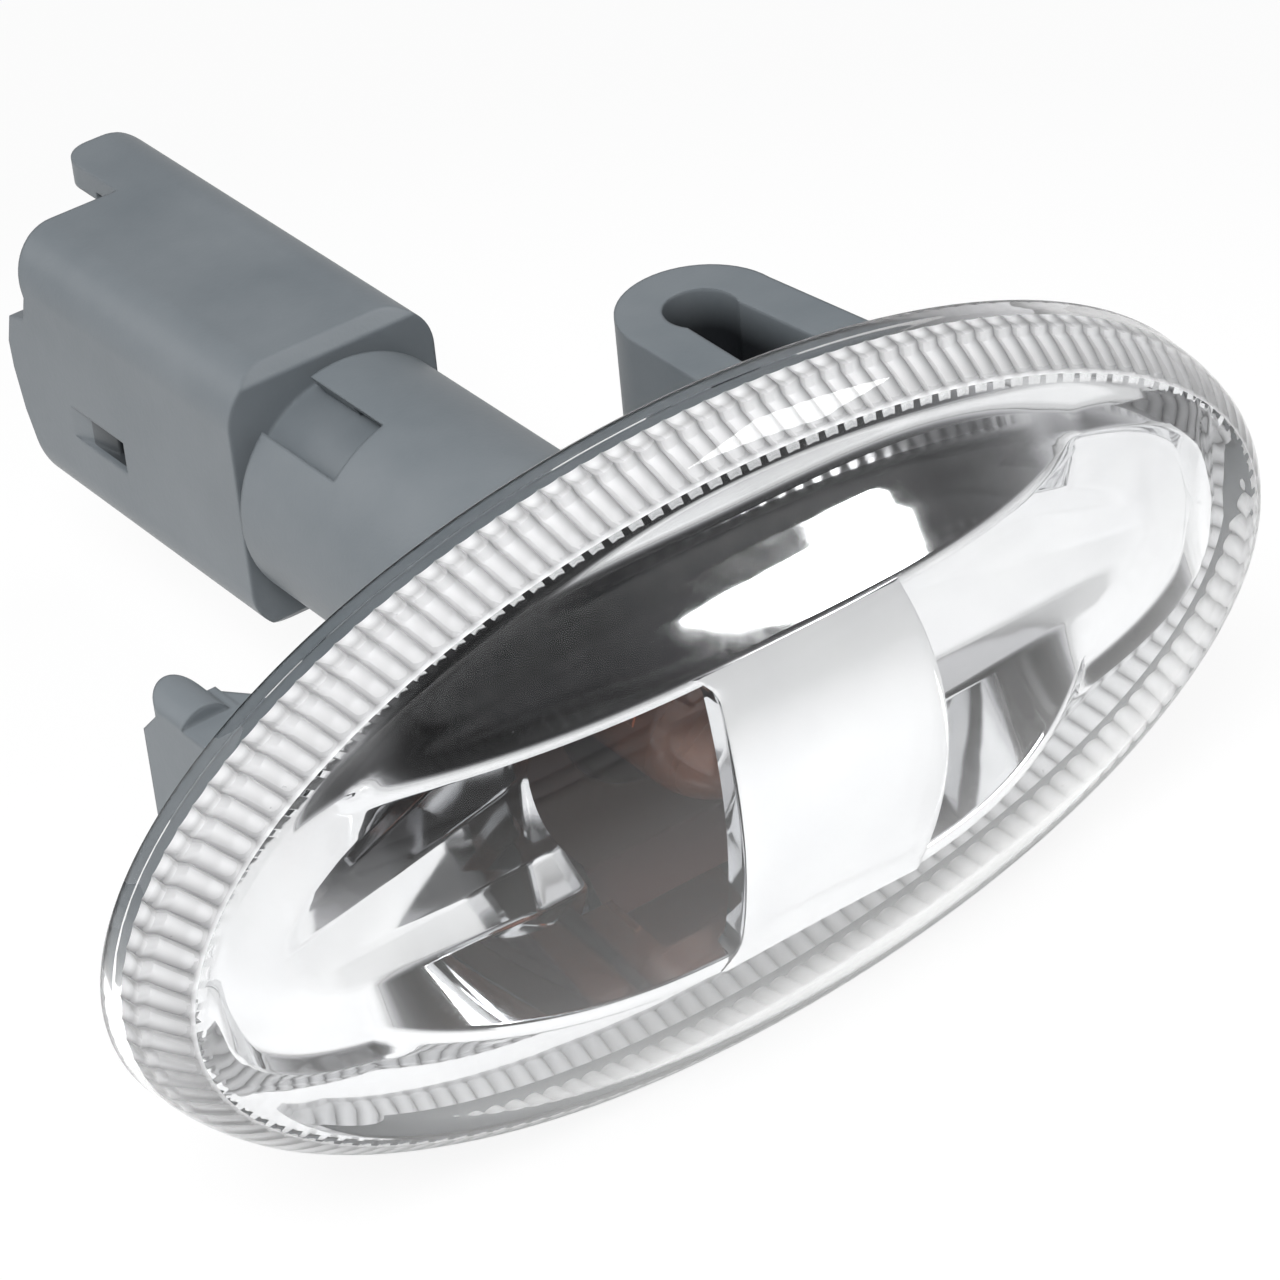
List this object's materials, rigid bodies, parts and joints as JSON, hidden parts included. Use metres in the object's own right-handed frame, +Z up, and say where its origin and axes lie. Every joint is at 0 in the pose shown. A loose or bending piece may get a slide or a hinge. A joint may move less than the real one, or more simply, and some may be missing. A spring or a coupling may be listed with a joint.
{
  "type": "side repeater lamp",
  "caption": "Oval car side repeater lamp with a clear fluted lens, a chromed eye-shaped reflector, an amber wedge bulb and a twist-in holder with a connector shroud.",
  "frame": {"origin": "middle of the oval lens in the plane of its rear edge, where the rim meets the car panel", "axes": "+X along the lens towards the spring clip, +Y through the panel towards the connector, +Z up; the lens faces -Y"},
  "size_m": [0.083, 0.0839, 0.0438],
  "materials": {
    "clear_lens": "clear moulded plastic",
    "mirror_coat": "bright metal coating",
    "grey_plastic": "satin",
    "holder_plastic": "satin",
    "seal_rubber": "matt",
    "contact_metal": "tinned",
    "amber_glass": "tinted glass",
    "filament_wire": "drawn wire",
    "lead_wire": "drawn wire"
  },
  "bodies": {
    "lamp": {"lens": "clear_lens", "reflector": "mirror_coat", "housing": "grey_plastic"},
    "holder": {"bulb_holder": "holder_plastic", "neck_seal": "seal_rubber", "terminal_left": "contact_metal", "terminal_right": "contact_metal", "bulb_glass": "amber_glass", "filament": "filament_wire", "lead_wire_left": "lead_wire", "lead_wire_right": "lead_wire"}
  },
  "joints": [
    {"name": "holder_twist", "type": "hinge", "parent": "lamp", "child": "holder", "pos_m": [0, 0.03, 0], "axis": [0, 1, 0], "range_deg": [0, 45]}
  ]
}
